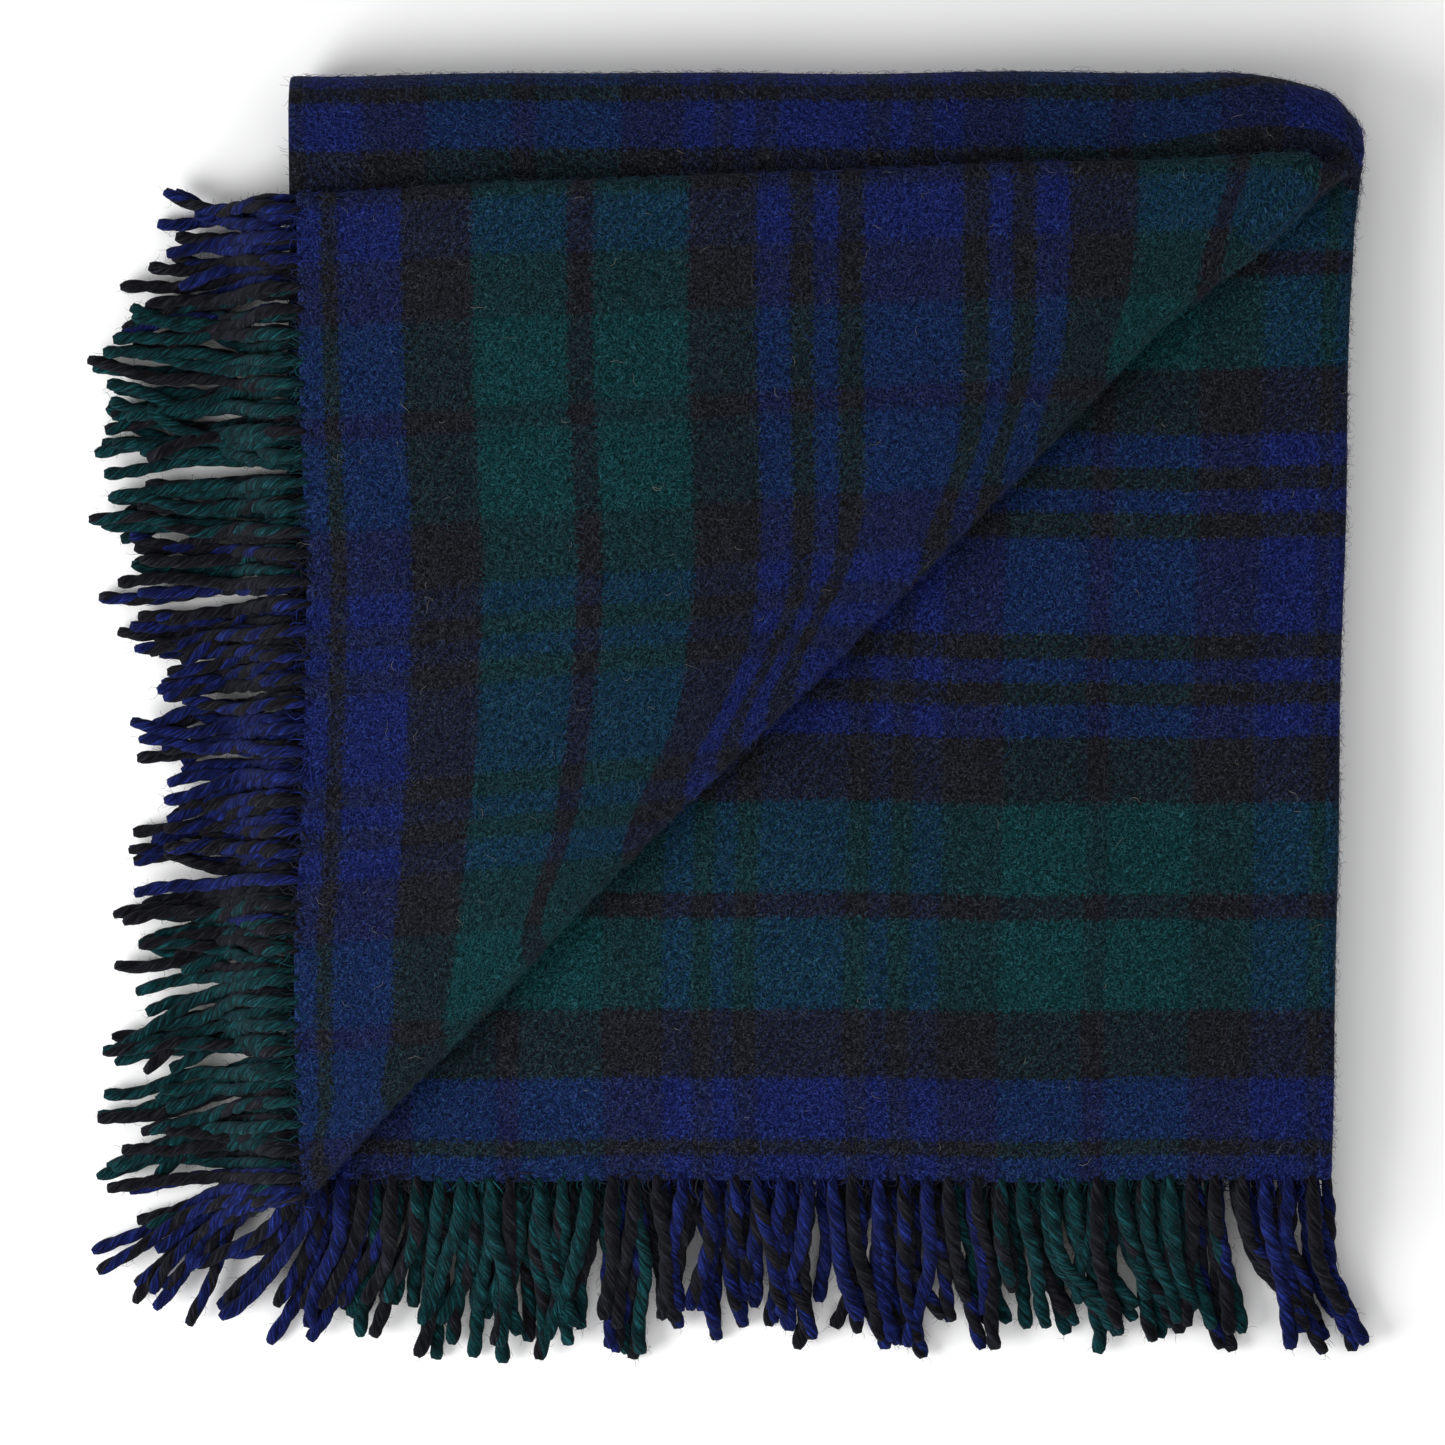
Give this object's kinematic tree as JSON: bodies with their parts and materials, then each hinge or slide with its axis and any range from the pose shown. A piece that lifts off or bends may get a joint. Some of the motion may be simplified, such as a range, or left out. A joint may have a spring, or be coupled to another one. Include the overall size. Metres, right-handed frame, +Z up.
{
  "type": "folded throw blanket",
  "caption": "Brushed wool tartan throw folded into a square stack, one corner of its top layer turned back along the diagonal, with twisted fringes on two sides.",
  "frame": {"origin": "centre of the whole object's footprint, fringes included, on the surface that it lies on", "axes": "+Z up through the folded layers, +Y towards the top fold, +X along the lower fringed edge towards the side with the double fold"},
  "size_m": [0.42, 0.43, 0.0367],
  "materials": {
    "tartan_cloth": "brushed and fulled wool twill in a dark blue, green and black tartan, matt with a fine raised nap",
    "fringe_yarn": "soft two-ply twisted wool strands in the same dark blue, green and black, matt and slightly hairy"
  },
  "bodies": {
    "stack": {"layer_1": "tartan_cloth", "layer_2": "tartan_cloth", "layer_3": "tartan_cloth", "layer_4": "tartan_cloth", "top_fold_outer": "tartan_cloth", "top_fold_inner": "tartan_cloth", "bottom_fold": "tartan_cloth", "corner_roll": "tartan_cloth", "lower_fringe_1": "fringe_yarn", "lower_fringe_2": "fringe_yarn", "lower_fringe_3": "fringe_yarn", "lower_fringe_4": "fringe_yarn"},
    "corner": {"turned_corner": "tartan_cloth", "corner_fringe_1": "fringe_yarn", "corner_fringe_2": "fringe_yarn", "corner_fringe_3": "fringe_yarn", "corner_fringe_4": "fringe_yarn"}
  },
  "joints": [
    {"name": "corner_fold", "type": "hinge", "parent": "stack", "child": "corner", "pos_m": [-0.14, -0.151, 0.02945], "axis": [0.7009, 0.7133, 0], "range_deg": [0, 180], "deforming": ["corner_roll"]}
  ]
}
